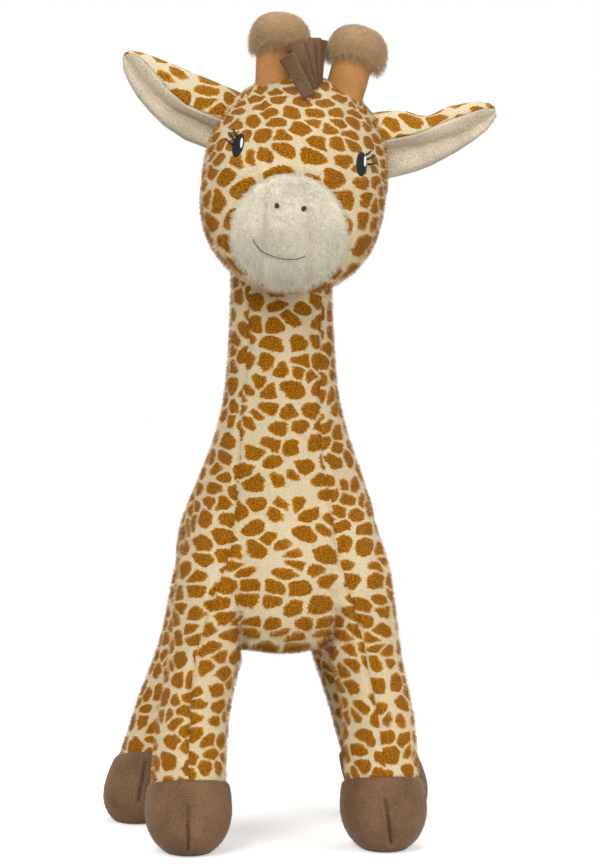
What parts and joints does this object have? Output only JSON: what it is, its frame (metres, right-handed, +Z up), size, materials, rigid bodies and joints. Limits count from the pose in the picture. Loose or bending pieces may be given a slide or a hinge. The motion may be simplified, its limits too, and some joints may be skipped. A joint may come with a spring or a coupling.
{
  "type": "plush toy",
  "caption": "Standing plush giraffe with a long neck, tilted head, soft seams that bend at neck, head, legs, ears and tail, and flat velour soles.",
  "frame": {"origin": "on the floor, under the middle of the outline", "axes": "+Z up; the giraffe looks along -Y, and its own left side is +X"},
  "size_m": [0.2877, 0.3043, 0.6182],
  "materials": {
    "spotted_plush": "short minky pile, cream with printed rounded ochre spots",
    "beige_pile": "long soft pile, cream beige",
    "taupe_velour": "short velour pile, taupe brown",
    "tan_knit": "brushed knit, tan",
    "brown_pile": "shaggy pile, light brown",
    "black_thread": "satin embroidery thread, black",
    "white_thread": "satin embroidery thread, white",
    "brown_thread": "embroidery thread, dark brown",
    "filling": "loose polyester fibre"
  },
  "bodies": {
    "root": {"torso_skin": "spotted_plush", "torso_stuffing": "filling"},
    "neck": {"neck_skin": "spotted_plush", "neck_stuffing": "filling", "mane_neck": "taupe_velour"},
    "head": {"head_skin": "spotted_plush", "head_stuffing": "filling", "muzzle": "beige_pile", "mane_head": "taupe_velour", "mouth_thread": "brown_thread", "eye_left": "black_thread", "eye_left_glint": "white_thread", "nostril_left": "brown_thread", "lash_left_1": "black_thread", "lash_left_2": "black_thread", "lash_left_3": "black_thread", "ossicone_left_stem": "tan_knit", "ossicone_left_knob": "brown_pile", "ossicone_left_stuffing": "filling", "eye_right": "black_thread", "eye_right_glint": "white_thread", "nostril_right": "brown_thread", "lash_right_1": "black_thread", "lash_right_2": "black_thread", "lash_right_3": "black_thread", "ossicone_right_stem": "tan_knit", "ossicone_right_knob": "brown_pile", "ossicone_right_stuffing": "filling", "forelock_strip_1": "taupe_velour", "forelock_strip_2": "taupe_velour", "forelock_strip_3": "taupe_velour", "forelock_strip_4": "taupe_velour", "forelock_strip_5": "taupe_velour"},
    "ear_left": {"ear_left_back": "spotted_plush", "ear_left_lining": "beige_pile"},
    "ear_right": {"ear_right_back": "spotted_plush", "ear_right_lining": "beige_pile"},
    "leg_front_left": {"front_left_leg_skin": "spotted_plush", "front_left_leg_stuffing": "filling", "front_left_hoof": "taupe_velour", "front_left_sole": "taupe_velour"},
    "leg_front_right": {"front_right_leg_skin": "spotted_plush", "front_right_leg_stuffing": "filling", "front_right_hoof": "taupe_velour", "front_right_sole": "taupe_velour"},
    "leg_hind_left": {"hind_left_leg_skin": "spotted_plush", "hind_left_leg_stuffing": "filling", "hind_left_hoof": "taupe_velour", "hind_left_sole": "taupe_velour"},
    "leg_hind_right": {"hind_right_leg_skin": "spotted_plush", "hind_right_leg_stuffing": "filling", "hind_right_hoof": "taupe_velour", "hind_right_sole": "taupe_velour"},
    "tail": {"tail": "spotted_plush", "tail_tuft": "taupe_velour"}
  },
  "joints": [
    {"name": "neck_lean", "type": "hinge", "parent": "root", "child": "neck", "pos_m": [-0.0157, -0.0355, 0.272], "axis": [1, 0, 0], "range_deg": [-12, 12], "stiffness_Nm_per_rad": 6},
    {"name": "head_turn", "type": "hinge", "parent": "neck", "child": "head", "pos_m": [-0.0157, -0.0355, 0.474], "axis": [0, 0, 1], "range_deg": [-30, 30], "stiffness_Nm_per_rad": 0.6},
    {"name": "ear_left_flop", "type": "hinge", "parent": "head", "child": "ear_left", "pos_m": [0.0588, -0.05, 0.51973], "axis": [-0.1883, 0.0132, 0.982], "range_deg": [-25, 25], "stiffness_Nm_per_rad": 0.05},
    {"name": "ear_right_flop", "type": "hinge", "parent": "head", "child": "ear_right", "pos_m": [-0.06229, -0.04156, 0.53961], "axis": [-0.4909, 0.0343, -0.8705], "range_deg": [-25, 25], "stiffness_Nm_per_rad": 0.05},
    {"name": "front_left_leg_swing", "type": "hinge", "parent": "root", "child": "leg_front_left", "pos_m": [0.0373, -0.0575, 0.185], "axis": [1, 0, 0], "range_deg": [-22, 14], "stiffness_Nm_per_rad": 3},
    {"name": "front_right_leg_swing", "type": "hinge", "parent": "root", "child": "leg_front_right", "pos_m": [-0.0687, -0.0575, 0.185], "axis": [1, 0, 0], "range_deg": [-22, 14], "stiffness_Nm_per_rad": 3},
    {"name": "hind_left_leg_swing", "type": "hinge", "parent": "root", "child": "leg_hind_left", "pos_m": [0.0313, 0.0745, 0.18], "axis": [1, 0, 0], "range_deg": [-14, 22], "stiffness_Nm_per_rad": 3},
    {"name": "hind_right_leg_swing", "type": "hinge", "parent": "root", "child": "leg_hind_right", "pos_m": [-0.0627, 0.0745, 0.18], "axis": [1, 0, 0], "range_deg": [-14, 22], "stiffness_Nm_per_rad": 3},
    {"name": "tail_lift", "type": "hinge", "parent": "root", "child": "tail", "pos_m": [-0.0157, 0.1198, 0.213], "axis": [1, 0, 0], "range_deg": [-4, 60], "stiffness_Nm_per_rad": 0.05}
  ]
}
